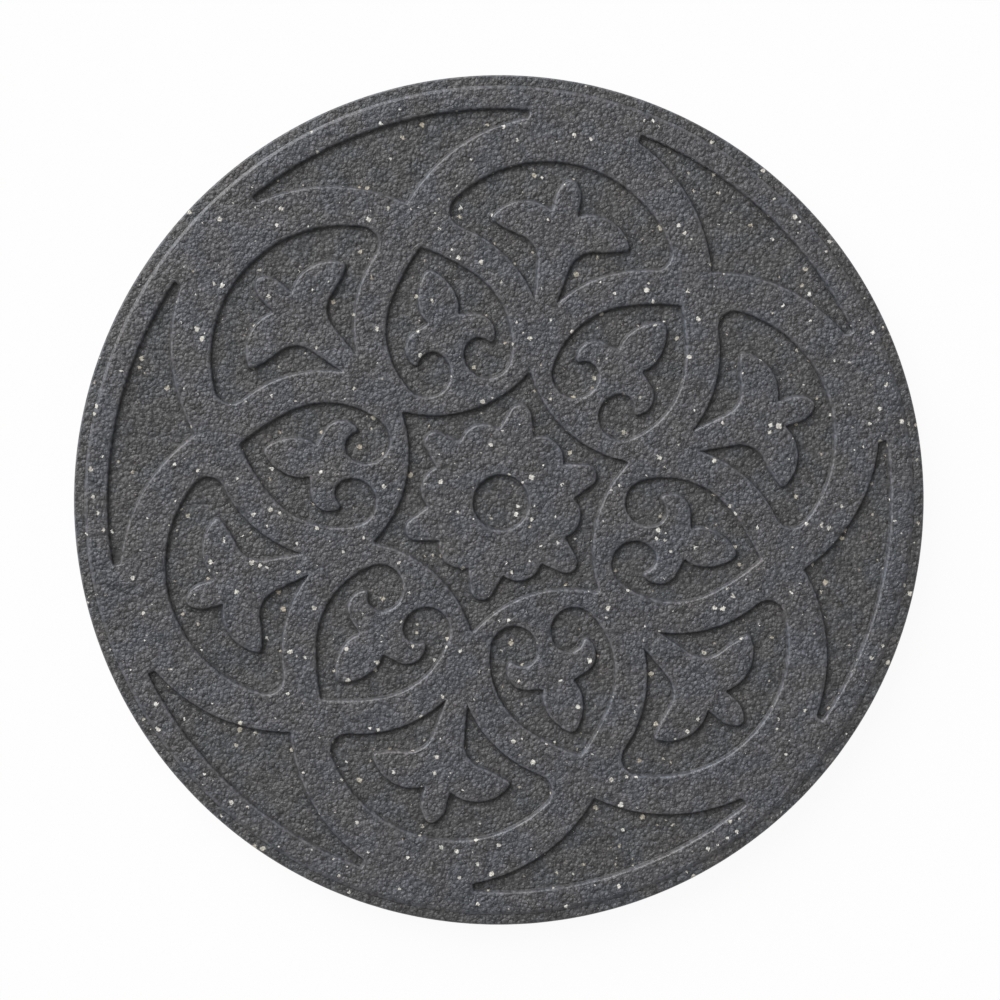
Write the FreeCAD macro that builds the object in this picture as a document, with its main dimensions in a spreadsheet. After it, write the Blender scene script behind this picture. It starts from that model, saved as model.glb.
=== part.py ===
import FreeCAD, Part
import math
import os

import Sketcher
from FreeCAD import Vector

# A round garden stepping stone, moulded in one piece. Its top carries a sunk ornament that
# repeats six times about the middle: a star with a rosette, hearts, fans and crescents.
# Sizes are in millimetres and degrees. They build up outwards from the middle of the stone:
# a reach is measured from the middle along a motif's own axis, a rise from the motif's foot
# further out, and a side square to the axis.

ORNAMENT_REPEATS = 6
HALF_TURN = 180.0 / ORNAMENT_REPEATS     # from a fan's axis to the next heart's axis

SIZES = (
    ("stone_radius", 225.0, "outer radius at the foot"),
    ("stone_thickness", 20.0, "overall thickness"),
    ("side_lean", 0.5, "how far the outer side leans in on its way up"),
    ("ledge_drop", 2.0, "height of the top above the ledge round the rim"),
    ("ledge_width", 5.5, "width of the ledge"),
    ("ledge_bevel", 1.0, "bevel of the outer edge of the ledge"),
    ("step_run", 1.6, "how far the step leans in on its way up"),
    ("relief_depth", 2.5, "depth of the sunk ornament"),
    ("wall_draft", 18.0, "lean of the ornament's walls"),
    ("star_side_reach", 51.7, "nearest point of the star's side"),
    ("star_side_radius", 65.2, "hollow side of the star"),
    ("star_tip_round", 1.4, "rounding of the star's tips"),
    ("star_band", 11.7, "raised band from the star's side to the heart's foot"),
    ("curl_radius", 13.0, "curl at the heart's foot"),
    ("crown_inset", 4.9, "how much tighter the curl's inner end is than the curl"),
    ("crown_turn", 54.7, "where the inner end begins, turned from the motif's axis"),
    ("heart_half_width", 33.1, "half the width of the heart"),
    ("curl_inset", 3.4, "how far the curl stays within the heart's width"),
    ("heart_belly_radius", 45.9, "lower sides of the heart"),
    ("heart_shoulder_radius", 125.4, "upper sides of the heart"),
    ("heart_point", 50.6, "from the heart's widest part to its tip"),
    ("arm_rise", 12.8, "middle of the lily's arm, from the curl's middle"),
    ("arm_side", 14.2, "middle of the lily's arm"),
    ("arm_radius", 9.6, "back of the lily's arm"),
    ("arm_tip_round", 1.0, "rounding of the arm's tip"),
    ("armpit_rise", 24.7, "corner between arm and leaf, from the curl's middle"),
    ("leaf_rise", 7.5, "widest part of the leaf, from that corner"),
    ("leaf_half_width", 9.9, "half the width of the leaf"),
    ("leaf_inset", 2.7, "how much narrower than that the leaf is at the corner"),
    ("leaf_side_radius", 24.1, "sides of the leaf"),
    ("leaf_foot_radius", 12.3, "sides of the leaf near its foot"),
    ("leaf_tip_round", 3.0, "rounding of the leaf's tip"),
    ("heart_band", 17.2, "raised band from the heart's upper side to the fan"),
    ("fan_foot_band", 15.7, "raised band from the heart's lower side to the fan's foot"),
    ("fan_side_radius", 66.3, "sides of the fan along the hearts"),
    ("stalk_half_width", 5.0, "half the width of the stalk in the fan"),
    ("bow_rise", 49.4, "middle of the bow from stalk to wing, from the curl's middle"),
    ("bow_side", 22.2, "middle of the bow from stalk to wing"),
    ("bow_radius", 14.3, "bow from stalk to wing"),
    ("wing_under_radius", 55.1, "lower edge of the wing"),
    ("wing_rise", 10.8, "middle of the wing's upper edge, from the bow's middle"),
    ("wing_side", 17.4, "middle of the wing's upper edge"),
    ("wing_radius", 21.2, "upper edge of the wing"),
    ("wing_tip_rise", 8.6, "tip of the wing, from the middle of its upper edge"),
    ("wing_tip_round", 1.0, "rounding of the wing's tip"),
    ("bud_rise", 26.9, "where the bud begins to narrow, from the wing's middle"),
    ("bud_half_width", 6.3, "half the width of the bud between the wings"),
    ("bud_side_radius", 11.9, "narrowing sides of the bud"),
    ("bud_tip_round", 2.8, "rounding of the bud's tip"),
    ("fan_top_rise", 18.8, "top of the fan, from where the bud begins to narrow"),
    ("fan_top_radius", 70.4, "top arc of the fan"),
    ("fan_corner_round", 9.5, "rounding of the fan's outer corners"),
    ("crescent_gap", 22.3, "raised band from the heart's tip to the crescent"),
    ("crescent_inner_radius", 91.0, "inner sides of the crescent"),
    ("crescent_span", 76.9, "end of the crescent, from its axis"),
    ("crescent_end_width", 5.0, "width of the crescent's blunt end"),
    ("rim_band", 17.7, "raised band from the crescent to the stone's edge"),
    ("hub_radius", 35.8, "round middle of the rosette"),
    ("dimple_radius", 15.3, "hollow in the middle of the rosette"),
    ("long_petal_reach", 52.3, "tip of the long petal"),
    ("long_petal_tip_radius", 5.5, "round tip of the long petal"),
    ("long_petal_root_reach", 37.2, "root of the long petal"),
    ("long_petal_root_side", 8.9, "half the width of the long petal at its root"),
    ("short_petal_reach", 30.5, "middle of the round short petal"),
    ("short_petal_radius", 11.9, "round short petal"),
)

# Places that several outlines share, as sums of the sizes above.
CURL_REACH = "star_side_reach + star_band + curl_radius"
CURL_SIDE = "heart_half_width - curl_inset - curl_radius"
ARMPIT_REACH = CURL_REACH + " + armpit_rise"
BOW_REACH = CURL_REACH + " + bow_rise"
WING_REACH = BOW_REACH + " + wing_rise"
NECK_REACH = WING_REACH + " + bud_rise"
FAN_TOP_REACH = NECK_REACH + " + fan_top_rise"

# How far a leaning wall of the ornament runs in plan.
WALL_RUN = "relief_depth * tan( wall_draft * 1 deg )"

doc = FreeCAD.newDocument("stepping_stone")
sheet = doc.addObject("Spreadsheet::Sheet", "Sizes")
for row, (alias, value, note) in enumerate(SIZES, start=1):
    sheet.set("A%d" % row, note)
    sheet.set("B%d" % row, str(value))
    sheet.setAlias("B%d" % row, alias)
doc.recompute()
size = {alias: float(sheet.get(alias)) for alias, value, note in SIZES}

body = doc.addObject("PartDesign::Body", "stepping_stone")
body.Label = "stepping_stone"
origin = {feature.Role: feature for feature in body.Origin.OriginFeatures}

UP = Vector(0, 0, 1)
ROOT, UPRIGHT = range(-1, -3, -1)    # a sketch's origin (and level axis) and upright axis
START, END, MIDDLE = range(1, 4)     # points of a line or an arc


def total(formula):
    """Value of a sum of sizes."""
    value, sign = 0.0, 1.0
    for word in formula.split():
        if word in size:
            value += sign * size[word]
        else:
            sign = -1.0 if word == "-" else 1.0
    return value


def bound(formula):
    """Formula with the sheet's name before every size."""
    return " ".join("Sizes." + word if word in size else word for word in formula.split())


def meet(first, first_radius, second, second_radius, left):
    """Crossing of two circles on the left or right of the way from first to second."""
    way = second - first
    along = (first_radius ** 2 - second_radius ** 2 + way.Length ** 2) / (2 * way.Length)
    across = math.sqrt(first_radius ** 2 - along ** 2)
    way.normalize()
    square = Vector(-way.y, way.x, 0) if left else Vector(way.y, -way.x, 0)
    return first + way * along + square * across


def towards(centre, other, radius):
    """Point of a circle in the direction of another point."""
    way = other - centre
    return centre + way * (radius / way.Length)


def arc_between(centre, radius, first, last):
    """Arc from the first point counter-clockwise to the last."""
    begin, finish = (math.atan2(p.y - centre.y, p.x - centre.x) for p in (first, last))
    if finish <= begin:
        finish += 2 * math.pi
    return Part.ArcOfCircle(Part.Circle(centre, UP, radius), begin, finish)


class Drawing:
    """A sketch of lines and arcs whose rules are tied to the sheet.

    Every piece is kept as its number and the two ends by which the outline enters and
    leaves it. A motif is drawn as its right half and then mirrored about its axis.
    """

    def __init__(self, name, support="XY_Plane", turn=0.0):
        self.sketch = body.newObject("Sketcher::SketchObject", name)
        self.sketch.AttachmentSupport = [(origin[support], "")]
        self.sketch.MapMode = "FlatFace"
        self.pieces = []
        if support == "XY_Plane":
            self.sketch.AttachmentOffset = FreeCAD.Placement(
                Vector(0, 0, size["stone_thickness"]), FreeCAD.Rotation(UP, turn))
            self.sketch.setExpression("AttachmentOffset.Base.z", bound("stone_thickness"))

    def rule(self, kind, *what, name=None, formula=None):
        number = self.sketch.addConstraint(Sketcher.Constraint(kind, *what))
        if name:
            self.sketch.renameConstraint(number, name)
            self.sketch.setExpression("Constraints." + name, bound(formula or name))
        return number

    def line(self, enter, leave):
        number = self.sketch.addGeometry(Part.LineSegment(enter, leave))
        self.pieces.append(number)
        return number, START, END

    def arc(self, centre, radius, enter, leave, clockwise):
        first, last = (leave, enter) if clockwise else (enter, leave)
        number = self.sketch.addGeometry(arc_between(centre, radius, first, last))
        self.pieces.append(number)
        return (number, END, START) if clockwise else (number, START, END)

    def cap(self, centre, radius, right):
        """Arc that crosses the upright axis above its middle, from its right end."""
        left = Vector(-right.x, right.y, 0)
        number = self.sketch.addGeometry(arc_between(centre, radius, right, left))
        self.rule("PointOnObject", number, MIDDLE, UPRIGHT)
        self.rule("Symmetric", number, START, number, END, UPRIGHT)
        return number, START, START

    def smooth(self, *chain):
        for one, other in zip(chain, chain[1:]):
            self.rule("Tangent", one[0], one[2], other[0], other[1])

    def corner(self, one, other):
        self.rule("Coincident", one[0], one[2], other[0], other[1])

    def radius(self, piece, name, formula=None):
        value = self.sketch.Geometry[piece[0]].Radius
        self.rule("Radius", piece[0], value, name=name, formula=formula)

    def side(self, piece, point, name, formula=None):
        value = self.sketch.getPoint(piece[0], point).x
        self.rule("DistanceX", ROOT, 1, piece[0], point, value, name=name, formula=formula)

    def reach(self, piece, point, name, formula=None):
        value = self.sketch.getPoint(piece[0], point).y
        self.rule("DistanceY", ROOT, 1, piece[0], point, value, name=name, formula=formula)

    def measure(self, kind, piece, point, name):
        """Dimension that only reads where a point came to lie."""
        spot = self.sketch.getPoint(piece[0], point)
        value = spot.x if kind == "DistanceX" else spot.y
        number = self.rule(kind, ROOT, 1, piece[0], point, value)
        self.sketch.setDriving(number, False)
        self.sketch.renameConstraint(number, name)

    def mirror(self):
        """Draw the left half and tie it to the right half."""
        for number in self.pieces:
            shape = self.sketch.Geometry[number]
            ends = [Vector(-p.x, p.y, 0) for p in (shape.StartPoint, shape.EndPoint)]
            if isinstance(shape, Part.LineSegment):
                twin = self.sketch.addGeometry(Part.LineSegment(*ends))
                pairs = ((START, START), (END, END))
            else:
                centre = Vector(-shape.Center.x, shape.Center.y, 0)
                twin = self.sketch.addGeometry(
                    arc_between(centre, shape.Radius, ends[1], ends[0]))
                pairs = ((START, END), (END, START))
                self.rule("Equal", number, twin)
            for here, there in pairs:
                if abs(self.sketch.getPoint(number, here).x) < 1e-6:
                    self.rule("Coincident", number, here, twin, there)
                else:
                    self.rule("Symmetric", number, here, twin, there, UPRIGHT)

    def finish(self):
        doc.recompute()
        if "Invalid" in self.sketch.State or not self.sketch.FullyConstrained:
            raise RuntimeError(self.sketch.Name + " is not sound or not fully constrained")
        return self.sketch


def heart_middles():
    """Tip of the heart, and middles of the belly and shoulder arcs on its right side."""
    curl = Vector(total(CURL_SIDE), total(CURL_REACH), 0)
    side = total("heart_half_width - heart_belly_radius")
    gap = total("heart_belly_radius - curl_radius")
    belly = Vector(side, curl.y + math.sqrt(gap ** 2 - (curl.x - side) ** 2), 0)
    tip = Vector(0, belly.y + size["heart_point"], 0)
    shoulder = meet(tip, size["heart_shoulder_radius"],
                    belly, total("heart_shoulder_radius - heart_belly_radius"), False)
    return tip, belly, shoulder


def draw_profile():
    """Half of the stone's section: foot, leaning side, ledge, step and top."""
    high, ledge = size["stone_thickness"], total("stone_thickness - ledge_drop")
    lip, bevel = total("stone_radius - side_lean"), size["ledge_bevel"]
    step = lip - size["ledge_width"]
    spots = [Vector(*spot, 0) for spot in (
        (0, 0), (size["stone_radius"], 0), (lip, ledge - bevel), (lip - bevel, ledge),
        (step, ledge), (step - size["step_run"], high), (0, high))]

    plan = Drawing("stone_profile", "XZ_Plane")
    lines = [plan.line(spot, after) for spot, after in zip(spots, spots[1:] + spots[:1])]
    for line, after in zip(lines, lines[1:] + lines[:1]):
        plan.corner(line, after)
    under, flank, lip_bevel, shelf, riser, face, middle = lines
    plan.rule("Coincident", under[0], START, ROOT, 1)
    for level in (under, shelf, face):
        plan.rule("Horizontal", level[0])
    plan.rule("Vertical", middle[0])
    plan.side(under, END, "stone_radius")
    plan.side(flank, END, "lip_side", "stone_radius - side_lean")
    plan.reach(flank, END, "lip_height", "stone_thickness - ledge_drop - ledge_bevel")
    plan.side(shelf, START, "shelf_side", "stone_radius - side_lean - ledge_bevel")
    plan.side(shelf, END, "step_side", "stone_radius - side_lean - ledge_width")
    plan.reach(shelf, END, "ledge_height", "stone_thickness - ledge_drop")
    plan.side(riser, END, "face_side", "stone_radius - side_lean - ledge_width - step_run")
    plan.reach(face, END, "stone_thickness")
    return plan.finish()


def draw_heart():
    """Heart, with a lily that grows into it on a stalk between two curls."""
    r_shoulder, r_belly = size["heart_shoulder_radius"], size["heart_belly_radius"]
    r_curl, r_crown = size["curl_radius"], total("curl_radius - crown_inset")
    r_arm, r_foot, r_leaf = size["arm_radius"], size["leaf_foot_radius"], size["leaf_side_radius"]
    r_tip, r_nose = size["leaf_tip_round"], size["arm_tip_round"]

    tip, belly, shoulder = heart_middles()
    curl = Vector(total(CURL_SIDE), total(CURL_REACH), 0)
    turn = math.radians(size["crown_turn"])
    crown = curl + Vector(-math.sin(turn), math.cos(turn), 0) * size["crown_inset"]
    arm = Vector(size["arm_side"], total(CURL_REACH + " + arm_rise"), 0)
    nose = meet(crown, r_crown + r_nose, arm, r_arm - r_nose, False)
    armpit = Vector(total("leaf_half_width - leaf_inset"), total(ARMPIT_REACH), 0)
    bridge_length = math.sqrt((armpit - arm).Length ** 2 - r_arm ** 2)
    at_bridge = meet(armpit, bridge_length, arm, r_arm, True)
    leaf = Vector(total("leaf_half_width - leaf_side_radius"),
                  total(ARMPIT_REACH + " + leaf_rise"), 0)
    foot = meet(armpit, r_foot, leaf, r_leaf - r_foot, False)
    leaf_tip = Vector(0, leaf.y + math.sqrt((r_leaf - r_tip) ** 2 - leaf.x ** 2), 0)
    at_belly, at_curl = towards(shoulder, belly, r_shoulder), towards(belly, curl, r_belly)
    at_crown, at_nose = towards(curl, crown, r_curl), towards(crown, nose, r_crown)
    at_arm = towards(arm, nose, r_arm)
    at_leaf, at_tip = towards(leaf, foot, r_leaf), towards(leaf, leaf_tip, r_leaf)

    plan = Drawing("heart_outline", turn=HALF_TURN)
    shoulder_arc = plan.arc(shoulder, r_shoulder, tip, at_belly, True)
    belly_arc = plan.arc(belly, r_belly, at_belly, at_curl, True)
    curl_arc = plan.arc(curl, r_curl, at_curl, at_crown, True)
    crown_arc = plan.arc(crown, r_crown, at_crown, at_nose, True)
    nose_arc = plan.arc(nose, r_nose, at_nose, at_arm, False)
    arm_arc = plan.arc(arm, r_arm, at_arm, at_bridge, False)
    bridge = plan.line(at_bridge, armpit)
    foot_arc = plan.arc(foot, r_foot, armpit, at_leaf, False)
    leaf_arc = plan.arc(leaf, r_leaf, at_leaf, at_tip, False)
    plan.mirror()
    tip_arc = plan.cap(leaf_tip, r_tip, at_tip)

    plan.smooth(shoulder_arc, belly_arc, curl_arc, crown_arc, nose_arc, arm_arc, bridge)
    plan.corner(bridge, foot_arc)
    plan.smooth(foot_arc, leaf_arc, tip_arc)
    plan.rule("PointOnObject", shoulder_arc[0], shoulder_arc[1], UPRIGHT)
    plan.rule("DistanceY", belly_arc[0], MIDDLE, shoulder_arc[0], shoulder_arc[1],
              size["heart_point"], name="heart_point")
    plan.radius(shoulder_arc, "heart_shoulder_radius")
    plan.radius(belly_arc, "heart_belly_radius")
    plan.side(belly_arc, MIDDLE, "belly_side", "heart_half_width - heart_belly_radius")
    plan.radius(curl_arc, "curl_radius")
    plan.side(curl_arc, MIDDLE, "curl_side", CURL_SIDE)
    plan.reach(curl_arc, MIDDLE, "curl_reach", CURL_REACH)
    plan.radius(crown_arc, "crown_radius", "curl_radius - crown_inset")
    plan.side(crown_arc, MIDDLE, "crown_side",
              CURL_SIDE + " - crown_inset * sin( crown_turn * 1 deg )")
    plan.radius(nose_arc, "arm_tip_round")
    plan.radius(arm_arc, "arm_radius")
    plan.side(arm_arc, MIDDLE, "arm_side")
    plan.reach(arm_arc, MIDDLE, "arm_reach", CURL_REACH + " + arm_rise")
    plan.side(bridge, END, "armpit_side", "leaf_half_width - leaf_inset")
    plan.reach(bridge, END, "armpit_reach", ARMPIT_REACH)
    plan.radius(foot_arc, "leaf_foot_radius")
    plan.radius(leaf_arc, "leaf_side_radius")
    plan.side(leaf_arc, MIDDLE, "leaf_side", "leaf_half_width - leaf_side_radius")
    plan.reach(leaf_arc, MIDDLE, "leaf_reach", ARMPIT_REACH + " + leaf_rise")
    plan.radius(tip_arc, "leaf_tip_round")
    plan.measure("DistanceY", belly_arc, MIDDLE, "belly_reach")
    plan.measure("DistanceX", shoulder_arc, MIDDLE, "shoulder_side")
    plan.measure("DistanceY", shoulder_arc, MIDDLE, "shoulder_reach")
    plan.measure("DistanceY", shoulder_arc, shoulder_arc[1], "tip_reach")
    return plan.finish()


def heart_ring(plan, part, centre, band):
    """Guide circle in the fan's drawing, a band's width outside an arc of the heart."""
    formula = "heart_%s_radius + %s" % (part, band)
    circle = Part.Circle(centre, UP, total(formula))
    ring = (plan.sketch.addGeometry(circle, True), START, END)
    measured = "heart_outline.Constraints." + part
    place = {"sine": "sin( %g deg )" % HALF_TURN, "cosine": "cos( %g deg )" % HALF_TURN,
             "reach": measured + "_reach", "side": measured + "_side"}
    plan.radius(ring, part + "_ring_radius", formula)
    plan.side(ring, MIDDLE, part + "_ring_side",
              "%(sine)s * %(reach)s - %(cosine)s * %(side)s" % place)
    plan.reach(ring, MIDDLE, part + "_ring_reach",
               "%(cosine)s * %(reach)s + %(sine)s * %(side)s" % place)
    return ring


def draw_fan():
    """Fan between two hearts, with a winged bud that grows into it on a stalk."""
    r_top, r_corner = size["fan_top_radius"], size["fan_corner_round"]
    r_shoulder = total("heart_shoulder_radius + heart_band")
    r_side, r_belly = size["fan_side_radius"], total("heart_belly_radius + fan_foot_band")
    r_bow, r_under = size["bow_radius"], size["wing_under_radius"]
    r_wing, r_round = size["wing_radius"], size["wing_tip_round"]
    r_bud, r_tip = size["bud_side_radius"], size["bud_tip_round"]

    turn = math.radians(HALF_TURN)
    belly, shoulder = (Vector(p.y * math.sin(turn) - p.x * math.cos(turn),
                              p.y * math.cos(turn) + p.x * math.sin(turn), 0)
                       for p in heart_middles()[1:])
    top = Vector(0, total(FAN_TOP_REACH) - r_top, 0)
    foot_side = size["stalk_half_width"]
    foot = Vector(foot_side, belly.y + math.sqrt(r_belly ** 2 - (belly.x - foot_side) ** 2), 0)
    side = meet(foot, r_side, shoulder, r_shoulder - r_side, True)
    corner = meet(top, r_top - r_corner, side, r_side + r_corner, True)
    bow = Vector(size["bow_side"], total(BOW_REACH), 0)
    at_stalk = meet(foot, math.sqrt((bow - foot).Length ** 2 - r_bow ** 2), bow, r_bow, True)
    wing = Vector(size["wing_side"], total(WING_REACH), 0)
    rise = size["wing_tip_rise"]
    wing_tip = wing + Vector(math.sqrt((r_wing - r_round) ** 2 - rise ** 2), rise, 0)
    under = meet(bow, r_bow + r_under, wing_tip, r_under - r_round, True)
    bud_side, neck_reach = size["bud_half_width"], total(NECK_REACH)
    pit = Vector(bud_side, wing.y + math.sqrt(r_wing ** 2 - (wing.x - bud_side) ** 2), 0)
    neck = Vector(bud_side, neck_reach, 0)
    bud = neck - Vector(r_bud, 0, 0)
    bud_tip = Vector(0, neck_reach + math.sqrt((r_bud - r_tip) ** 2 - bud.x ** 2), 0)
    at_corner, at_side = towards(top, corner, r_top), towards(side, corner, r_side)
    at_under, at_tip = towards(bow, under, r_bow), towards(bud, bud_tip, r_bud)
    at_round, at_wing = towards(under, wing_tip, r_under), towards(wing, wing_tip, r_wing)

    plan = Drawing("fan_outline")
    top_arc = plan.cap(top, r_top, at_corner)
    corner_arc = plan.arc(corner, r_corner, at_corner, at_side, True)
    side_arc = plan.arc(side, r_side, at_side, foot, False)
    stalk = plan.line(foot, at_stalk)
    bow_arc = plan.arc(bow, r_bow, at_stalk, at_under, True)
    under_arc = plan.arc(under, r_under, at_under, at_round, False)
    round_arc = plan.arc(wing_tip, r_round, at_round, at_wing, False)
    wing_arc = plan.arc(wing, r_wing, at_wing, pit, False)
    neck_line = plan.line(pit, neck)
    bud_arc = plan.arc(bud, r_bud, neck, at_tip, False)
    plan.mirror()
    tip_arc = plan.cap(bud_tip, r_tip, at_tip)

    plan.smooth(top_arc, corner_arc, side_arc)
    plan.corner(side_arc, stalk)
    plan.smooth(stalk, bow_arc, under_arc, round_arc, wing_arc)
    plan.corner(wing_arc, neck_line)
    plan.smooth(neck_line, bud_arc, tip_arc)
    plan.rule("Vertical", neck_line[0])
    plan.radius(top_arc, "fan_top_radius")
    plan.reach(top_arc, MIDDLE, "fan_top_middle", FAN_TOP_REACH + " - fan_top_radius")
    plan.radius(corner_arc, "fan_corner_round")
    plan.radius(side_arc, "fan_side_radius")
    shoulder_ring = heart_ring(plan, "shoulder", shoulder, "heart_band")
    belly_ring = heart_ring(plan, "belly", belly, "fan_foot_band")
    plan.rule("Tangent", side_arc[0], shoulder_ring[0])
    plan.rule("PointOnObject", stalk[0], START, belly_ring[0])
    plan.side(stalk, START, "stalk_half_width")
    plan.radius(bow_arc, "bow_radius")
    plan.side(bow_arc, MIDDLE, "bow_side")
    plan.reach(bow_arc, MIDDLE, "bow_reach", BOW_REACH)
    plan.radius(under_arc, "wing_under_radius")
    plan.radius(round_arc, "wing_tip_round")
    plan.reach(round_arc, MIDDLE, "wing_tip_reach", WING_REACH + " + wing_tip_rise")
    plan.radius(wing_arc, "wing_radius")
    plan.side(wing_arc, MIDDLE, "wing_side")
    plan.reach(wing_arc, MIDDLE, "wing_reach", WING_REACH)
    plan.side(neck_line, END, "bud_half_width")
    plan.reach(neck_line, END, "bud_neck_reach", NECK_REACH)
    plan.radius(bud_arc, "bud_side_radius")
    plan.radius(tip_arc, "bud_tip_round")
    return plan.finish()


def draw_crescent():
    """Crescent behind a heart's tip, between two fans and the rim."""
    r_outer, r_inner = total("stone_radius - rim_band"), size["crescent_inner_radius"]
    span, middle = size["crescent_span"], Vector(0, 0, 0)
    outer_end = Vector(span, math.sqrt(r_outer ** 2 - span ** 2), 0)
    inner_end = towards(middle, outer_end, r_outer - size["crescent_end_width"])
    cusp = heart_middles()[0] + Vector(0, size["crescent_gap"], 0)
    inner = meet(cusp, r_inner, inner_end, r_inner, False)

    plan = Drawing("crescent_outline", turn=HALF_TURN)
    outer_arc = plan.cap(middle, r_outer, outer_end)
    end_line = plan.line(outer_end, inner_end)
    inner_arc = plan.arc(inner, r_inner, inner_end, cusp, False)
    plan.mirror()

    plan.corner(outer_arc, end_line)
    plan.corner(end_line, inner_arc)
    plan.rule("PointOnObject", outer_arc[0], MIDDLE, ROOT)
    plan.radius(outer_arc, "crescent_outer_radius", "stone_radius - rim_band")
    plan.rule("PointOnObject", ROOT, 1, end_line[0])
    plan.rule("Distance", end_line[0], size["crescent_end_width"], name="crescent_end_width")
    plan.side(end_line, START, "crescent_span")
    plan.radius(inner_arc, "crescent_inner_radius")
    plan.rule("PointOnObject", inner_arc[0], inner_arc[2], UPRIGHT)
    plan.reach(inner_arc, inner_arc[2], "crescent_cusp_reach",
               "heart_outline.Constraints.tip_reach + crescent_gap * 1 mm")
    return plan.finish()


def draw_star():
    """Six-pointed star with hollow sides; its tips lie on the fans' axes."""
    r_side, r_tip = size["star_side_radius"], size["star_tip_round"]
    far = total("star_side_reach + star_side_radius")
    half = math.radians(HALF_TURN)
    near = far * math.cos(half) - math.sqrt((r_side + r_tip) ** 2
                                            - (far * math.sin(half)) ** 2)

    plan = Drawing("star_outline")
    sides, tips = [], []
    for step in range(ORNAMENT_REPEATS):
        angles = [math.radians(90.0 + HALF_TURN * (2 * step + part)) for part in range(-1, 3)]
        ways = [Vector(math.cos(angle), math.sin(angle), 0) for angle in angles]
        before, tip, side, after = (way * reach for way, reach
                                    in zip(ways, (far, near, far, near)))
        tips.append(plan.arc(tip, r_tip, towards(before, tip, r_side),
                             towards(side, tip, r_side), False))
        sides.append(plan.arc(side, r_side, towards(side, tip, r_side),
                              towards(side, after, r_side), True))
    for step, (tip, side) in enumerate(zip(tips, sides)):
        plan.smooth(tip, side, tips[(step + 1) % ORNAMENT_REPEATS])
        angle = 90.0 + HALF_TURN * (2 * step + 1)
        formula = "( star_side_reach + star_side_radius ) * %s( %g deg )"
        plan.side(side, MIDDLE, "side_across_%d" % step, formula % ("cos", angle))
        plan.reach(side, MIDDLE, "side_reach_%d" % step, formula % ("sin", angle))
        plan.radius(side, "side_radius_%d" % step, "star_side_radius")
        plan.radius(tip, "tip_round_%d" % step, "star_tip_round")
    return plan.finish()


def draw_disc(name, alias, reach=None, turn=0.0):
    """Round outline about the middle of the stone or on a motif's axis."""
    plan = Drawing(name, turn=turn)
    middle = Vector(0, size[reach] if reach else 0.0, 0)
    disc = (plan.sketch.addGeometry(Part.Circle(middle, UP, size[alias])), START, END)
    plan.radius(disc, alias)
    if reach:
        plan.rule("PointOnObject", disc[0], MIDDLE, UPRIGHT)
        plan.reach(disc, MIDDLE, reach)
    else:
        plan.rule("Coincident", disc[0], MIDDLE, ROOT, 1)
    return plan.finish()


def draw_long_petal():
    """Petal with a round tip that narrows from its root to the middle of the stone."""
    r_tip = size["long_petal_tip_radius"]
    tip = Vector(0, size["long_petal_reach"] - r_tip, 0)
    root = Vector(size["long_petal_root_side"], size["long_petal_root_reach"], 0)
    flank_length = math.sqrt((root - tip).Length ** 2 - r_tip ** 2)
    at_flank = meet(root, flank_length, tip, r_tip, False)

    plan = Drawing("long_petal_outline")
    tip_arc = plan.cap(tip, r_tip, at_flank)
    flank = plan.line(at_flank, root)
    inward = plan.line(root, Vector(0, 0, 0))
    plan.mirror()
    plan.smooth(tip_arc, flank)
    plan.corner(flank, inward)
    plan.rule("Coincident", inward[0], END, ROOT, 1)
    plan.radius(tip_arc, "long_petal_tip_radius")
    plan.reach(tip_arc, MIDDLE, "long_petal_middle",
               "long_petal_reach - long_petal_tip_radius")
    plan.side(flank, END, "long_petal_root_side")
    plan.reach(flank, END, "long_petal_root_reach")
    return plan.finish()


def check(feature):
    """A feature that failed, or that has no sound shape, stops the build."""
    if "Invalid" in feature.State or "Error" in feature.State:
        raise RuntimeError(feature.Name + " failed")
    if feature.Shape.isNull() or not feature.Shape.isValid():
        raise RuntimeError(feature.Name + " has no sound shape")
    return feature


def relief(name, sketch, sunk=True):
    """Sink an outline into the top, or raise it from the floor, with leaning walls."""
    before = body.Tip.Shape.Volume
    foot = body.newObject("PartDesign::SubShapeBinder", name + "_foot")
    foot.Support = [(sketch, ("",))]
    foot.MakeFace = False
    foot.OffsetJoinType = "Intersection"
    foot.setExpression("Offset", bound("- " + WALL_RUN if sunk else WALL_RUN))
    foot.setExpression("Placement.Base.z", bound("- relief_depth"))
    kind = "SubtractiveLoft" if sunk else "AdditiveLoft"
    feature = body.newObject("PartDesign::" + kind, name)
    feature.Profile = sketch
    feature.Sections = [(foot, ("",))]
    feature.Ruled = True
    body.Tip = feature
    doc.recompute()
    check(foot)
    check(feature)
    added = feature.Shape.Volume - before
    if (added >= 0) if sunk else (added <= 0):
        raise RuntimeError(name + " changes nothing")
    return feature


def repeat(name, *features):
    """Set copies of motifs round the stone."""
    pattern = body.newObject("PartDesign::PolarPattern", name)
    pattern.Originals = list(features)
    pattern.Axis = (origin["Z_Axis"], [""])
    pattern.Angle = 360.0
    pattern.Occurrences = ORNAMENT_REPEATS
    body.Tip = pattern
    doc.recompute()
    return check(pattern)


profile = draw_profile()
slab = body.newObject("PartDesign::Revolution", "slab")
slab.Profile = profile
slab.ReferenceAxis = (profile, ["V_Axis"])
slab.Angle = 360.0
body.Tip = slab
doc.recompute()
check(slab)

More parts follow.
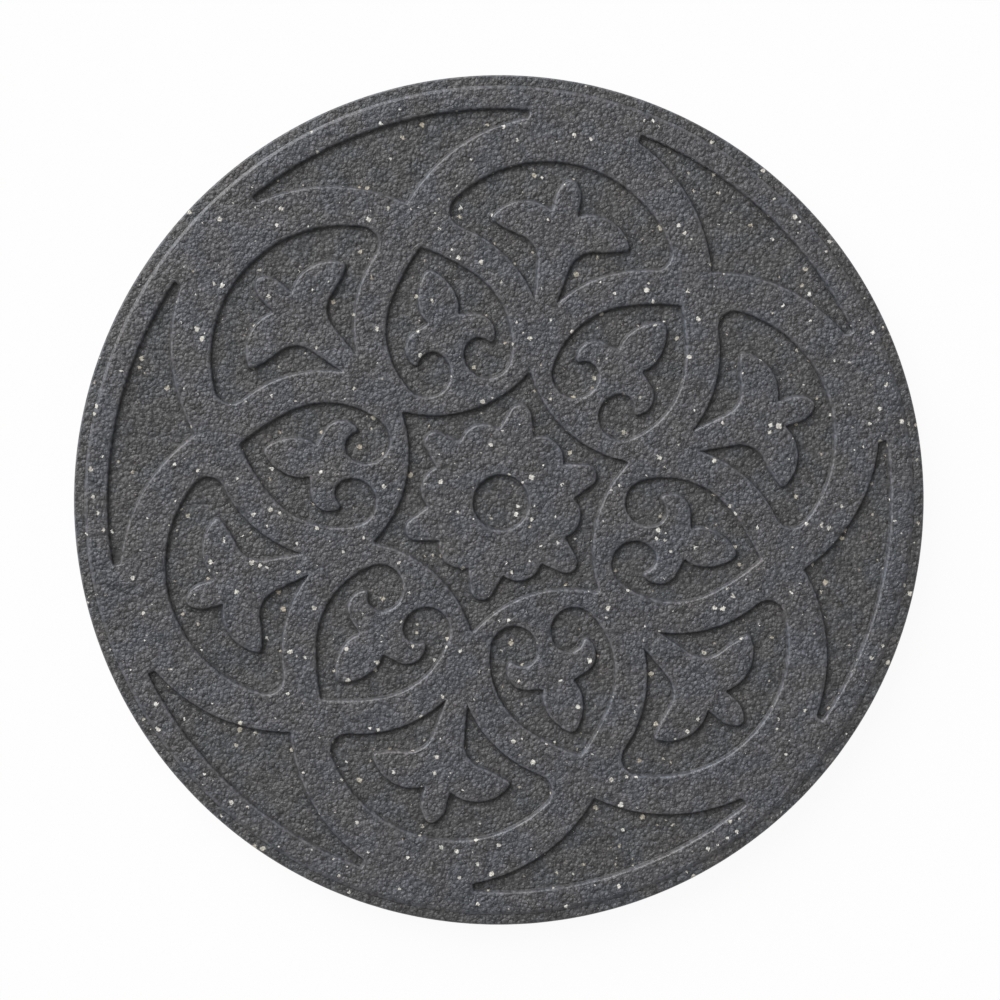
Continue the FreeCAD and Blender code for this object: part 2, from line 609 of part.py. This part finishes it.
heart = relief("heart", draw_heart())
fan = relief("fan", draw_fan())
crescent = relief("crescent", draw_crescent())
repeat("ornament_ring", heart, fan, crescent)
relief("star", draw_star())
relief("hub", draw_disc("hub_outline", "hub_radius"), sunk=False)
long_petal = relief("long_petal", draw_long_petal(), sunk=False)
short_petal = relief("short_petal", draw_disc(
    "short_petal_outline", "short_petal_radius", "short_petal_reach", HALF_TURN), sunk=False)
repeat("rosette", long_petal, short_petal)
relief("dimple", draw_disc("dimple_outline", "dimple_radius"))

for item in doc.Objects:
    if "Invalid" in item.State or "Error" in item.State:
        raise RuntimeError(item.Name + " failed")
check(body)
if len(body.Shape.Solids) != 1:
    raise RuntimeError("the stone is not one solid")

os.makedirs("parts", exist_ok=True)
body.Shape.exportStep("parts/stepping_stone.step")
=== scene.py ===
import math
import random

import bmesh
import bpy
import numpy as np
from mathutils import Matrix, Vector, geometry, noise
from mathutils.bvhtree import BVHTree


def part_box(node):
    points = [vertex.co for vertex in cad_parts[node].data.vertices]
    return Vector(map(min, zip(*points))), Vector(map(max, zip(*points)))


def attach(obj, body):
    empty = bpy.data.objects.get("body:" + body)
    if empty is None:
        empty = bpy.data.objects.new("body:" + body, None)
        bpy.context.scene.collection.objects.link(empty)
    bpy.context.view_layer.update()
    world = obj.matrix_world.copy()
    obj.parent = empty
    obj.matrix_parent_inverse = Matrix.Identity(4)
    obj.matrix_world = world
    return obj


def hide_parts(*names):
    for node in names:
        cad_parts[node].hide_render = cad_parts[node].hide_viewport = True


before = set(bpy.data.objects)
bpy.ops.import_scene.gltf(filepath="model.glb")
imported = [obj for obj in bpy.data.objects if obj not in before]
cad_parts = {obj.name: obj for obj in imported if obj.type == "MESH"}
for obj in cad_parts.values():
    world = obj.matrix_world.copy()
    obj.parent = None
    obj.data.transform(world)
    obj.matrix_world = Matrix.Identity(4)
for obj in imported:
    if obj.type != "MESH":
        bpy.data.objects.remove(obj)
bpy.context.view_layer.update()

# The garden stepping stone lies on its flat underside, with the moulded ornament on top.
# Lengths are in metres. The outlines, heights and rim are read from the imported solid.

MM = 0.001
stone_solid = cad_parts["stepping_stone"]
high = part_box("stepping_stone")[1]
TOP = high.z
ORNAMENT_REACH = 0.9           # share of the radius inside which the ornament's floors lie
FLOOR = min(v.co.z for v in stone_solid.data.vertices
            if v.co.z > 0.5 * TOP and math.hypot(v.co.x, v.co.y) < ORNAMENT_REACH * high.x)

# Shape of an ornament wall, from the sunk floor to the raised face: distance from the middle
# of the wall in millimetres (plus is on the raised side) and share of the relief's height.
WALL_ROWS = ((-0.95, 0.000), (-0.62, 0.030), (-0.40, 0.160), (-0.20, 0.430), (0.00, 0.660),
             (0.24, 0.835), (0.52, 0.935), (0.86, 0.985), (1.30, 1.000))
WALL_SPACING = 1.70 * MM       # between mesh points along a wall
WALL_SLACK = 0.12 * MM         # a row's point is kept if it lies this near to its distance
FACE_SPACING = 2.40 * MM       # between mesh points on the open faces
FACE_SCATTER = 0.35 * MM
UNDERSIDE_SPACING = 7.0 * MM
RIM_STEPS = 540                # mesh points round the rim
LEDGE_LIFT = 0.8 * MM          # how much higher than the solid's ledge the dressed one lies
RIM_RUN = 3.0 * MM             # flat run before the rim's first corner and after its last
RIM_SOFTNESS = (0.5, 0.3, 0.35, 0.35, 0.5)    # rounding of the rim's corners, in millimetres
LUMP_SIZE = 7.0 * MM           # waviness of the pressed crumb that the mesh carries
LUMP_HEIGHT = 0.20 * MM
LUMPS_ABOVE = 0.7 * TOP
JOIN_DISTANCE = 0.002 * MM
MESH_SLACK = 1e-6

# What the rim's faces carry as their distance from a wall, for the painted shade and painted highlight
# beside walls.
RISER_HIGHLIGHT = 0.8 * MM
LEDGE_SHADE_STRETCH = 2.0               # the ledge's own distances are stretched by this, to keep its painted shade next to the riser narrow
LIP_HIGHLIGHT = 0.9 * MM
LIP_DEPTH = 1.3 * MM
LEVEL_SLACK = 0.1 * MM
BEYOND_WALL_MARKS = 9.0 * MM              # farther from a wall than any painted shade, painted highlight or smoothing reaches

MOULDED, PRESSED = 0, 1        # places of the two finishes on the stone


def joined_copy(solid):
    """The solid's mesh with its split points joined."""
    mesh = bmesh.new()
    mesh.from_mesh(solid.data)
    bmesh.ops.remove_doubles(mesh, verts=mesh.verts, dist=JOIN_DISTANCE)
    return mesh


def cut_loops(solid, height):
    """Closed outlines of the solid at a height."""
    mesh = joined_copy(solid)
    bmesh.ops.bisect_plane(
        mesh, geom=mesh.verts[:] + mesh.edges[:] + mesh.faces[:], dist=1e-7,
        plane_co=(0, 0, height), plane_no=(0, 0, 1), clear_inner=True, clear_outer=True)
    neighbours = {vert: [edge.other_vert(vert) for edge in vert.link_edges]
                  for vert in mesh.verts}
    loops, seen = [], set()
    for start in mesh.verts:
        loop, here = [], start
        while here is not None and here not in seen:
            seen.add(here)
            loop.append(here.co.to_2d())
            here = next((vert for vert in neighbours[here] if vert not in seen), None)
        if loop:
            loops.append(loop)
    mesh.free()
    return loops


def even_walk(loop, spacing):
    """Points along a closed outline, evenly spaced."""
    points = np.array([tuple(p) for p in loop + loop[:1]])
    steps = np.hypot(*np.diff(points, axis=0).T)
    along = np.concatenate(([0.0], np.cumsum(steps)))
    count = max(12, round(along[-1] / spacing))
    marks = np.arange(count) * along[-1] / count
    return np.column_stack([np.interp(marks, along, points[:, axis]) for axis in (0, 1)])


class Relief:
    """Distance from the ornament's walls, and the height of the soft surface there."""

    def __init__(self, solid):
        self.middle = 0.5 * (TOP + FLOOR)
        loops = cut_loops(solid, self.middle)
        loops.sort(key=lambda loop: max(p.length for p in loop))
        self.rim_step = max(p.length for p in loops[-1])
        self.loops = loops[:-1]
        corners, fences = [], []
        for loop in self.loops:
            for here, there in zip(loop, loop[1:] + loop[:1]):
                first = len(corners)
                corners += [(*here, -MM), (*here, MM), (*there, MM), (*there, -MM)]
                fences.append((first, first + 1, first + 2, first + 3))
        self.fence = BVHTree.FromPolygons(corners, fences)
        mesh = joined_copy(solid)
        self.solid = BVHTree.FromBMesh(mesh)
        mesh.free()
        self.row_at, self.row_share = (np.array(values) for values in zip(*WALL_ROWS))
        self.row_at = self.row_at * MM

    def raised(self, x, y):
        spot = self.solid.ray_cast(Vector((x, y, 2 * TOP)), Vector((0, 0, -1)))[0]
        return spot is not None and spot.z > self.middle

    def distance(self, x, y):
        """Plus on the raised side of the nearest wall, minus over a sunk floor."""
        away = self.fence.find_nearest(Vector((x, y, 0)))[3]
        return away if self.raised(x, y) else -away

    def height(self, distance):
        share = np.interp(distance, self.row_at, self.row_share)
        return FLOOR + (TOP - FLOOR) * share


def wall_points(relief):
    """Rows of points beside every wall, where no other wall is nearer."""
    points = []
    for loop in relief.loops:
        walk = even_walk(loop, WALL_SPACING)
        way = np.roll(walk, -1, axis=0) - np.roll(walk, 1, axis=0)
        square = np.column_stack((-way[:, 1], way[:, 0]))
        square /= np.hypot(*square.T)[:, None]
        if not relief.raised(*(walk[0] + square[0] * MM)):
            square = -square
        for at in relief.row_at:
            for x, y in walk + square * at:
                away = relief.distance(x, y)
                if abs(away - at) < WALL_SLACK:
                    points.append((x, y, away))
    return points


def face_points(relief, radius):
    """Loosely spread points on the open faces, clear of the wall rows."""
    draw = random.Random(11)
    rise = FACE_SPACING * math.sqrt(0.75)
    lowest = relief.row_at[0] - 0.5 * FACE_SPACING
    highest = relief.row_at[-1] + 0.5 * FACE_SPACING
    points = []
    rows = int(radius / rise) + 1
    for row in range(-rows, rows + 1):
        for step in range(-rows - 1, rows + 2):
            x = (step + 0.5 * (row % 2)) * FACE_SPACING
            x += draw.uniform(-FACE_SCATTER, FACE_SCATTER)
            y = row * rise + draw.uniform(-FACE_SCATTER, FACE_SCATTER)
            if math.hypot(x, y) > radius - 0.6 * FACE_SPACING:
                continue
            away = relief.distance(x, y)
            if away < lowest or away > highest:
                points.append((x, y, away))
    return points


def ring(radius, count):
    return [(radius * math.cos(turn), radius * math.sin(turn))
            for turn in (2 * math.pi * step / count for step in range(count))]


def rim_profile(relief):
    """The rim from the top face outwards and down with softened corners, and its ledge's height."""
    spots = {(round(math.hypot(v.co.x, v.co.y), 4), round(v.co.z, 4))
             for v in stone_solid.data.vertices
             if math.hypot(v.co.x, v.co.y) > relief.rim_step - 2 * MM}
    line = [Vector(spot) for spot in sorted(spots, key=lambda spot: (-spot[1], spot[0]))]
    line.insert(0, line[0] - Vector((RIM_RUN, 0)))
    for corner in line[2:5]:
        corner.y += LEDGE_LIFT
    line.append(line[-1] - Vector((RIM_RUN, 0)))
    soft = [line[0]]
    for before, corner, after, softness in zip(line, line[1:], line[2:], RIM_SOFTNESS):
        back, on = before - corner, after - corner
        trim = min(softness * MM, 0.48 * back.length, 0.48 * on.length)
        first, last = corner + back.normalized() * trim, corner + on.normalized() * trim
        for share in (0.0, 0.3, 0.5, 0.7, 1.0):
            soft.append(first.lerp(corner, share).lerp(corner.lerp(last, share), share))
    soft.append(line[-1])
    return soft, line[2].y


def rim_wall(spot, ledge, step):
    """Distance from the rim's step: the ledge counts as a sunk floor with painted shade next to the
    riser, and riser and lip carry the painted edge highlight.
    """
    if spot.y > ledge + LEVEL_SLACK:
        return max(RISER_HIGHLIGHT, step - spot.x)
    if spot.y > ledge - LEVEL_SLACK:
        return LEDGE_SHADE_STRETCH * (step - spot.x)
    return LIP_HIGHLIGHT if spot.y > ledge - LIP_DEPTH else BEYOND_WALL_MARKS


def lump(x, y, z):
    """Coarse unevenness of the pressed crumb, from minus one to nothing."""
    spot = Vector((x, y, z)) / LUMP_SIZE
    value = noise.noise(spot) + 0.6 * noise.noise(2.1 * spot)
    return max(-1.0, min(0.0, 0.7 * value - 0.5))


class Shell:
    """The stone's mesh while it grows: points, distances from a wall, faces and finishes."""

    def __init__(self):
        self.points, self.walls, self.faces, self.finishes = [], [], [], []

    def add_points(self, points, walls):
        first = len(self.points)
        self.points += points
        self.walls += walls
        return list(range(first, len(self.points)))

    def add_faces(self, faces, finish):
        self.faces += faces
        self.finishes += [finish] * len(faces)

    def mesh(self, name):
        lifted = [(x, y, z + (LUMP_HEIGHT * lump(x, y, z) if z > LUMPS_ABOVE else 0.0))
                  for x, y, z in self.points]
        mesh = bpy.data.meshes.new(name)
        mesh.from_pydata(lifted, [], self.faces)
        mesh.polygons.foreach_set("use_smooth", [True] * len(self.faces))
        mesh.polygons.foreach_set("material_index", self.finishes)
        wall = mesh.attributes.new("wall", "FLOAT", "POINT")
        wall.data.foreach_set("value", np.array(self.walls, np.float32) / MM)
        mesh.validate()
        return mesh


def add_ornament(shell, relief, radius):
    """The top face with its ornament; gives the numbers of the points round its edge."""
    spots = [(x, y, BEYOND_WALL_MARKS) for x, y in ring(radius, RIM_STEPS)]
    spots += wall_points(relief) + face_points(relief, radius)
    flat = [Vector(spot[:2]) for spot in spots]
    verts, _, faces, origins, _, _ = geometry.delaunay_2d_cdt(flat, [], [], 0, MESH_SLACK)
    away = np.array([spots[source[0]][2] for source in origins])
    shell.add_points([(v.x, v.y, z) for v, z in zip(verts, relief.height(away))], list(away))
    shell.add_faces([tuple(face) for face in faces], MOULDED)
    places = {source[0]: number for number, source in enumerate(origins)}
    return [places[number] for number in range(RIM_STEPS)]


def add_rim(shell, relief, profile, ledge, outline):
    """Rings down the rim's profile; gives the numbers of the points round the underside."""
    for spot in profile[1:]:
        level = [(x, y, spot.y) for x, y in ring(spot.x, RIM_STEPS)]
        after = shell.add_points(level, [rim_wall(spot, ledge, relief.rim_step)] * RIM_STEPS)
        onward = outline[1:] + outline[:1], after[1:] + after[:1]
        shell.add_faces([(here, below, next_below, next_here) for here, below, next_here, next_below
                         in zip(outline, after, *onward)], MOULDED)
        outline = after
    return outline


def add_underside(shell, radius, outline):
    flat = [Vector(shell.points[number][:2]) for number in outline]
    flat += [Vector(spot) for step in range(1, int(radius / UNDERSIDE_SPACING))
             for spot in ring(step * UNDERSIDE_SPACING, 6 * step)]
    verts, _, faces, origins, _, _ = geometry.delaunay_2d_cdt(flat, [], [], 0, MESH_SLACK)
    numbers = []
    for v, source in zip(verts, origins):
        if source[0] < RIM_STEPS:
            numbers.append(outline[source[0]])
        else:
            numbers += shell.add_points([(v.x, v.y, 0.0)], [BEYOND_WALL_MARKS])
    shell.add_faces([tuple(numbers[corner] for corner in reversed(face)) for face in faces],
                    PRESSED)


def build_stone():
    relief = Relief(stone_solid)
    profile, ledge = rim_profile(relief)
    shell = Shell()
    outline = add_ornament(shell, relief, profile[0].x)
    outline = add_rim(shell, relief, profile, ledge, outline)
    add_underside(shell, profile[-1].x, outline)
    stone = bpy.data.objects.new("stone", shell.mesh("stone"))
    bpy.context.scene.collection.objects.link(stone)
    return stone


stone = build_stone()
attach(stone, "root")
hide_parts("stepping_stone")


# Finish: charcoal rubber crumb with pale flecks in it, paler along its edges with a painted highlight
# and darker at the feet of its walls with painted shade.
RAISED = (0.0670, 0.0676, 0.0738, 1)     # colour of the raised faces
SUNK = (0.0595, 0.0597, 0.0622, 1)       # colour of the sunk floors
COOL, WARM = (0.95, 1.0, 1.07, 1), (1.05, 0.995, 0.94, 1)
DARKEST, PALEST = 0.04, 2.15             # how far single crumbs, and the painted shade in the gaps between them, differ from the colour
PATCH_SPAN = 0.35                        # how far patches of crumb differ in level
FOOT_SHADE_LEVEL, EDGE_HIGHLIGHT_LEVEL = -0.36, 0.45     # change of level: painted shade at a wall's foot and a painted highlight on its edge
ROUGHNESS, WORN_ROUGHNESS = 0.5, -0.18
EDGE_SMOOTHING = -0.7                    # how much of the crumb's height an edge loses
CRUMB_MIDDLE = 0.25                      # the crumb's mean height
CRUMB_LEAN = 1.6                         # how much single crumbs lean to one side
CRUMB_KINDS = ((1.0, 0.7), (1.9, 0.3))   # fineness and share of the coarse and the fine crumb
FLECK_SPACING = 4.2 * MM
FLECK_SIZE = 0.34                        # the largest fleck, as a share of the spacing
FLECK_SHARE = 0.22                       # share of the places that hold a fleck
FLECK_COLOURS = ((0.0, (0.40, 0.35, 0.27, 1)), (0.35, (0.48, 0.46, 0.39, 1)),
                 (1.0, (0.72, 0.71, 0.66, 1)))


class Board:
    """A node tree with short ways to add nodes and join them."""

    def __init__(self, tree):
        self.tree = tree
        tree.nodes.clear()

    def add(self, kind, inputs=(), **settings):
        node = self.tree.nodes.new("ShaderNode" + kind)
        for name, value in settings.items():
            setattr(node, name, value)
        for name, value in dict(inputs).items():
            self.join(value, node.inputs[name])
        return node

    def join(self, value, socket):
        if isinstance(value, bpy.types.NodeSocket):
            self.tree.links.new(value, socket)
        else:
            socket.default_value = value

    def calc(self, operation, one, other=0.0, third=0.0):
        node = self.add("Math", {0: one, 1: other, 2: third}, operation=operation)
        return node.outputs[0]

    def vector(self, operation, one, other):
        return self.add("VectorMath", {0: one, 1: other}, operation=operation).outputs

    def scaled(self, vector, scale):
        return self.add("VectorMath", {0: vector, "Scale": scale}, operation="SCALE").outputs[0]

    def ramp(self, value, start, end):
        node = self.add("MapRange", {"Value": value, "From Min": start, "From Max": end},
                        interpolation_type="SMOOTHSTEP")
        return node.outputs["Result"]

    def band(self, value, start, full, still, end):
        """One between full and still, fading to nothing at start and at end."""
        return self.calc("MULTIPLY", self.ramp(value, start, full), self.ramp(value, end, still))

    def blend(self, factor, one, other, mode="MIX"):
        node = self.add("Mix", {0: factor, 6: one, 7: other}, data_type="RGBA",
                        blend_type=mode)
        return node.outputs[2]

    def noise(self, place, scale, detail):
        return self.add("TexNoise", {"Vector": place, "Scale": scale, "Detail": detail}).outputs

    def bent(self, place, scale, detail, reach):
        """The place pushed about by noise, so that what is drawn there is irregular."""
        colour = self.noise(place, scale, detail)["Color"]
        push = self.vector("SUBTRACT", colour, (0.5, 0.5, 0.5))[0]
        return self.vector("ADD", place, self.scaled(push, reach))[0]


class Effect(Board):
    """A shader node group with named inputs and outputs."""

    def __init__(self, name, inputs, outputs):
        tree = bpy.data.node_groups.new(name, "ShaderNodeTree")
        for label, value in inputs.items():
            tree.interface.new_socket(
                label, in_out="INPUT", socket_type="NodeSocketFloat").default_value = value
        for label, kind in outputs.items():
            tree.interface.new_socket(label, in_out="OUTPUT", socket_type="NodeSocket" + kind)
        super().__init__(tree)
        self.given = tree.nodes.new("NodeGroupInput").outputs
        self.gives = tree.nodes.new("NodeGroupOutput").inputs

    def give(self, **values):
        for label, value in values.items():
            self.join(value, self.gives[label])
        return self.tree


def rubber_crumb():
    """Pressed crumb: height of the rounded grains, and a tone that differs between them and falls
    towards their gaps as painted shade.
    """
    board = Effect("Rubber crumb", {"Crumb Size": 2.0 * MM},
                   {"Height": "Float", "Tone": "Float", "Patch": "Float", "Tint": "Color"})
    size = board.given["Crumb Size"]
    place = board.add("TexCoord").outputs["Object"]
    density = board.calc("DIVIDE", 1.0, size)
    bent = board.bent(place, density, 1.0, board.calc("MULTIPLY", size, 0.35))
    height, tone = 0.0, 0.0
    for finer, share in CRUMB_KINDS:
        grain = board.add("TexVoronoi", {
            "Vector": bent, "Scale": board.calc("MULTIPLY", density, finer)}).outputs
        pick = board.add("SeparateColor", {"Color": grain["Color"]}).outputs
        side = board.vector("SUBTRACT", bent, grain["Position"])[0]
        turn = board.vector("SUBTRACT", grain["Color"], (0.5, 0.5, 0.5))[0]
        lean = board.calc("MULTIPLY", board.vector("DOT_PRODUCT", side, turn)["Value"],
                          board.calc("MULTIPLY", density, CRUMB_LEAN * share * finer))
        lift = board.calc("MULTIPLY_ADD", pick["Green"], 0.6 * share, 0.4 * share)
        lift = board.calc("ADD", lift, lean)
        dome = board.ramp(grain["Distance"], 0.85, 0.1)
        height = board.calc("MULTIPLY_ADD", dome, lift, height)
        shine = board.calc("MULTIPLY_ADD", pick["Red"], 0.55 * share, 0.10 * share)
        # The tone falls off towards each grain's edge: painted shade in the gaps between grains.
        tone = board.calc("ADD", tone, board.calc("MULTIPLY_ADD", dome, 0.35 * share, shine))
    patch = board.noise(place, board.calc("MULTIPLY", density, 0.14), 2.0)[0]
    hue = board.noise(place, board.calc("MULTIPLY", density, 0.12), 1.0)[0]
    tint = board.blend(board.ramp(hue, 0.2, 0.8), COOL, WARM)
    return board.give(Height=height, Tone=tone, Patch=patch, Tint=tint)


def pale_flecks():
    """Scattered flecks of a paler rubber: where they are and what colour they have."""
    board = Effect("Pale flecks", {"Spacing": FLECK_SPACING, "Size": FLECK_SIZE, "Share": FLECK_SHARE},
                   {"Mask": "Float", "Colour": "Color"})
    spacing = board.given["Spacing"]
    place = board.add("TexCoord").outputs["Object"]
    density = board.calc("DIVIDE", 1.0, spacing)
    bent = board.bent(place, board.calc("MULTIPLY", density, 3.0), 2.0,
                      board.calc("MULTIPLY", spacing, 0.55))
    cell = board.add("TexVoronoi", {"Vector": bent, "Scale": density}).outputs
    pick = board.add("SeparateColor", {"Color": cell["Color"]}).outputs
    chosen = board.calc("LESS_THAN", pick["Red"], board.given["Share"])
    bulk = board.calc("MULTIPLY_ADD", board.calc("POWER", pick["Green"], 2.5), 0.7, 0.3)
    reach = board.calc("MULTIPLY", board.given["Size"], bulk)
    inside = board.calc("LESS_THAN", cell["Distance"], reach)
    colours = board.add("ValToRGB", {"Fac": pick["Blue"]})
    stops = colours.color_ramp.elements
    for position, _ in FLECK_COLOURS[1:-1]:
        stops.new(position)
    for stop, (position, colour) in zip(stops, FLECK_COLOURS):
        stop.position, stop.color = position, colour
    return board.give(Mask=board.calc("MULTIPLY", chosen, inside),
                      Colour=colours.outputs["Color"])


def wall_mark_masks():
    """Masks beside the moulded walls, from the distance in millimetres that the mesh carries: the sunk
    floor, painted shade at a wall's foot, a painted highlight on its edge, and where the grain is
    smoothed.
    """
    board = Effect("Wall marks", {}, dict.fromkeys(("Floor", "Foot", "Worn", "Smooth"), "Float"))
    wall = board.add("Attribute", attribute_name="wall").outputs["Fac"]
    return board.give(Floor=board.ramp(wall, 0.0, -0.8),
                      Foot=board.band(wall, -2.8, -1.2, -0.8, -0.2),
                      Worn=board.band(wall, -0.3, 0.1, 0.5, 1.2),
                      Smooth=board.band(wall, -1.8, -0.9, 0.9, 1.8))


CRUMB = rubber_crumb()
FLECKS = pale_flecks()
WALL_MARKS = wall_mark_masks()


def crumb_rubber(name, crumb_size, bump):
    """Charcoal crumb, darker and browner over the sunk floors, with painted shade at the walls' feet
    and a painted highlight along their edges.
    """
    material = bpy.data.materials.new(name)
    material.use_nodes = True
    board = Board(material.node_tree)
    crumb = board.add("Group", {"Crumb Size": crumb_size}, node_tree=CRUMB).outputs
    flecks = board.add("Group", node_tree=FLECKS).outputs
    masks = board.add("Group", node_tree=WALL_MARKS).outputs
    level = board.calc("MULTIPLY_ADD", crumb["Patch"], PATCH_SPAN, 1.0 - 0.5 * PATCH_SPAN)
    # Painted shade: darker along each wall's foot.
    level = board.calc("MULTIPLY_ADD", masks["Foot"], FOOT_SHADE_LEVEL, level)
    # Painted highlight: paler along each raised edge.
    level = board.calc("MULTIPLY_ADD", masks["Worn"], EDGE_HIGHLIGHT_LEVEL, level)
    tone = board.calc("MULTIPLY_ADD", crumb["Tone"], PALEST - DARKEST, DARKEST)
    rubber = board.blend(masks["Floor"], RAISED, SUNK)
    tinted = board.blend(1.0, rubber, crumb["Tint"], "MULTIPLY")
    shaded = board.scaled(tinted, board.calc("MULTIPLY", tone, level))
    painted = board.blend(flecks["Mask"], shaded, flecks["Colour"])
    rough = board.calc("MULTIPLY_ADD", masks["Smooth"], EDGE_SMOOTHING, 1.0)
    height = board.calc("MULTIPLY", rough, board.calc("SUBTRACT", crumb["Height"], CRUMB_MIDDLE))
    grain = board.add("Bump", {"Height": height, "Distance": bump, "Strength": 1.0})
    shader = board.add("BsdfPrincipled", {
        "Base Color": painted, "Normal": grain.outputs[0], "Specular IOR Level": 0.5,
        "Roughness": board.calc("MULTIPLY_ADD", masks["Worn"], WORN_ROUGHNESS, ROUGHNESS)})
    board.add("OutputMaterial", {"Surface": shader.outputs[0]})
    return material


stone.data.materials.append(crumb_rubber("moulded face", 2.0 * MM, 0.80 * MM))
stone.data.materials.append(crumb_rubber("pressed underside", 2.4 * MM, 1.0 * MM))


# Floor, light and camera.
FLOOR_REACH = 4.0
FLOOR_GAP = 0.2 * MM                  # the floor lies this far below the stone
FLOOR_WHITE = 0.94                    # share of plain white in what the camera sees of the floor
SKY_STRENGTH = 0.30
PICTURE_TURN = math.radians(12.5)     # turn of the stone in the picture
CAMERA_DISTANCE = 1.2
CAMERA_LEAN = math.radians(2.43)      # from straight above the stone
CAMERA_SIDE = math.radians(142.0)     # towards which side it leans
CAMERA_AIM = Vector((-0.85 * MM, 1.24 * MM, TOP))
CAMERA_VIEW = 0.5271                  # width of the view at the aim
SENSOR = 36.0

scene = bpy.context.scene
scene.view_settings.view_transform = "Standard"


def pale_floor():
    mesh = bpy.data.meshes.new("floor")
    corners = ((-1, -1), (1, -1), (1, 1), (-1, 1))
    mesh.from_pydata([(FLOOR_REACH * x, FLOOR_REACH * y, 0) for x, y in corners], [], [(0, 1, 2, 3)])
    floor = bpy.data.objects.new("floor", mesh)
    floor.location.z = -FLOOR_GAP
    scene.collection.objects.link(floor)
    paint = bpy.data.materials.new("pale floor")
    paint.use_nodes = True
    board = Board(paint.node_tree)
    rays = board.add("LightPath").outputs
    seen = board.calc("MAXIMUM", rays["Is Glossy Ray"], rays["Is Transmission Ray"])
    seen = board.calc("MAXIMUM", rays["Is Camera Ray"], seen)
    matt = board.add("BsdfDiffuse", {"Color": (0.8, 0.8, 0.8, 1)})
    white = board.add("Emission", {"Color": (1, 1, 1, 1), "Strength": 1.0})
    both = board.add("MixShader", {0: board.calc("MULTIPLY", seen, FLOOR_WHITE),
                                   1: matt.outputs[0], 2: white.outputs[0]})
    board.add("OutputMaterial", {"Surface": both.outputs[0]})
    mesh.materials.append(paint)
    return floor


def studio_world():
    world = bpy.data.worlds.new("studio")
    world.use_nodes = True
    board = Board(world.node_tree)
    rays = board.add("LightPath").outputs
    sky = board.add("Background", {"Color": (1, 1, 1, 1), "Strength": SKY_STRENGTH})
    backdrop = board.add("Background", {"Color": (1, 1, 1, 1), "Strength": 1.0})
    mixed = board.add("MixShader", {0: rays["Is Camera Ray"], 1: sky.outputs[0],
                                    2: backdrop.outputs[0]})
    board.add("OutputWorld", {"Surface": mixed.outputs[0]})
    return world


def lamp(name, turn, lift, strength, softness):
    """A broad lamp far off: turn in the picture, lift above the floor and softness in degrees."""
    light = bpy.data.lights.new(name, "SUN")
    light.energy = strength
    light.angle = math.radians(softness)
    holder = bpy.data.objects.new(name, light)
    turn, lift = math.radians(turn) + PICTURE_TURN, math.radians(lift)
    way = Vector((math.cos(turn) * math.cos(lift), math.sin(turn) * math.cos(lift),
                  math.sin(lift)))
    holder.rotation_euler = way.to_track_quat("Z", "Y").to_euler()
    scene.collection.objects.link(holder)


def overhead_camera():
    camera = bpy.data.objects.new("camera", bpy.data.cameras.new("camera"))
    camera.data.sensor_width = SENSOR
    camera.data.lens = SENSOR * CAMERA_DISTANCE / CAMERA_VIEW
    hinge = Vector((-math.sin(CAMERA_SIDE), math.cos(CAMERA_SIDE), 0))
    pose = Matrix.Rotation(CAMERA_LEAN, 3, hinge) @ Matrix.Rotation(PICTURE_TURN, 3, "Z")
    camera.location = CAMERA_AIM + CAMERA_DISTANCE * pose.col[2]
    camera.rotation_euler = pose.to_euler()
    scene.collection.objects.link(camera)
    return camera


pale_floor()
scene.world = studio_world()
lamp("key", turn=130, lift=34, strength=3.95, softness=56)
scene.camera = overhead_camera()
